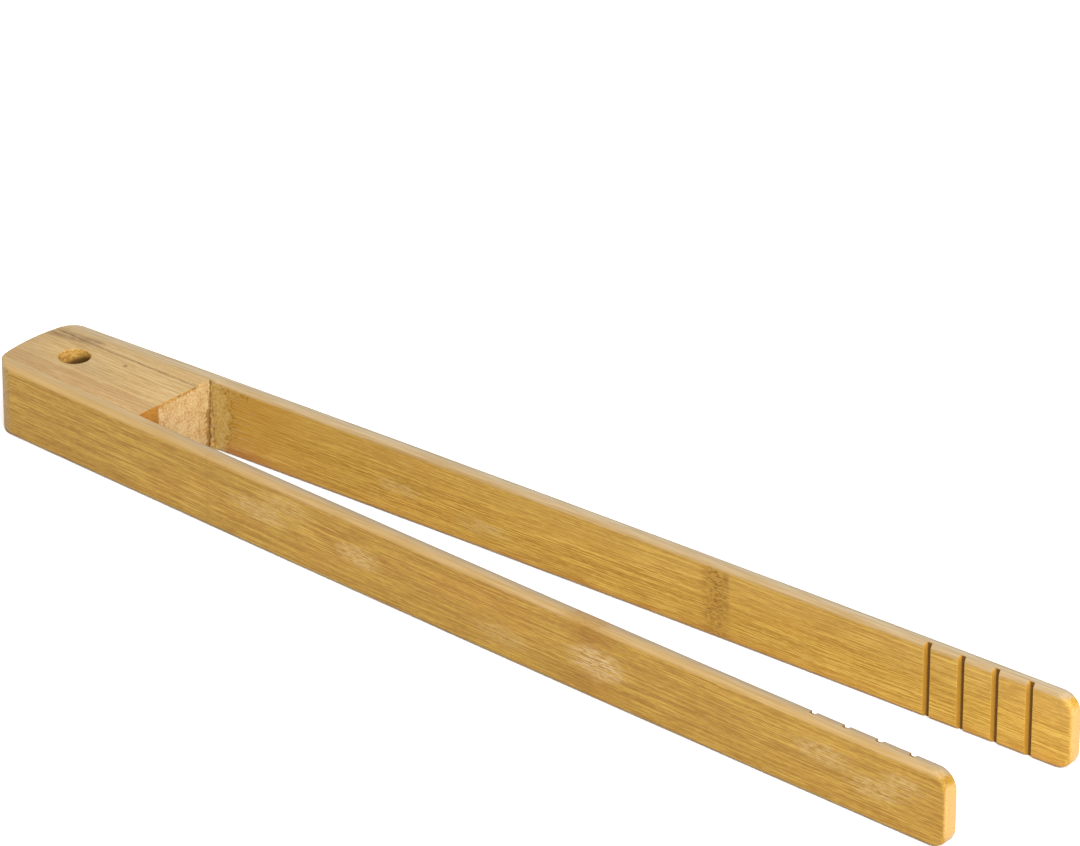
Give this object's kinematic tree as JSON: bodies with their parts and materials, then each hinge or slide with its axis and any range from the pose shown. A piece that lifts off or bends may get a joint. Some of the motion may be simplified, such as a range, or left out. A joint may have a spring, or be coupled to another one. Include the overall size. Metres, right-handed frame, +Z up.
{
  "type": "print tongs",
  "caption": "Bamboo darkroom print tongs: two springy flat arms glued to a tapered laminated block with a hanging hole, grip cuts across the jaws.",
  "frame": {"origin": "under the middle of the tongs, on the surface that they lie on", "axes": "+X along the tongs from the head end to the tips, +Y towards the left arm, +Z up along the hanging hole"},
  "size_m": [0.25, 0.041, 0.0156],
  "materials": {
    "arm_bamboo": "sanded bamboo, satin, fine lengthwise fibres",
    "block_bamboo": "sanded bamboo, pale, end grain dotted",
    "dark_bamboo": "sanded bamboo, orange brown",
    "dried_glue": "dried brown wood glue"
  },
  "bodies": {
    "head": {"left_arm_root": "arm_bamboo", "right_arm_root": "arm_bamboo", "core_block_strip": "block_bamboo", "left_block_strip": "block_bamboo", "right_block_strip": "dark_bamboo", "left_core_glue": "dried_glue", "right_core_glue": "dried_glue", "left_arm_glue": "dried_glue", "right_arm_glue": "dried_glue"},
    "left_blade": {"left_arm_blade": "arm_bamboo"},
    "right_blade": {"right_arm_blade": "arm_bamboo"}
  },
  "joints": [
    {"name": "left_arm_flex", "type": "hinge", "parent": "head", "child": "left_blade", "pos_m": [-0.05467, 0.01324, 0.0078], "axis": [0, 0, -1], "range_deg": [0, 5.48], "stiffness_Nm_per_rad": 5},
    {"name": "right_arm_flex", "type": "hinge", "parent": "head", "child": "right_blade", "pos_m": [-0.05467, -0.01324, 0.0078], "axis": [0, 0, 1], "range_deg": [0, 5.48], "stiffness_Nm_per_rad": 5}
  ]
}
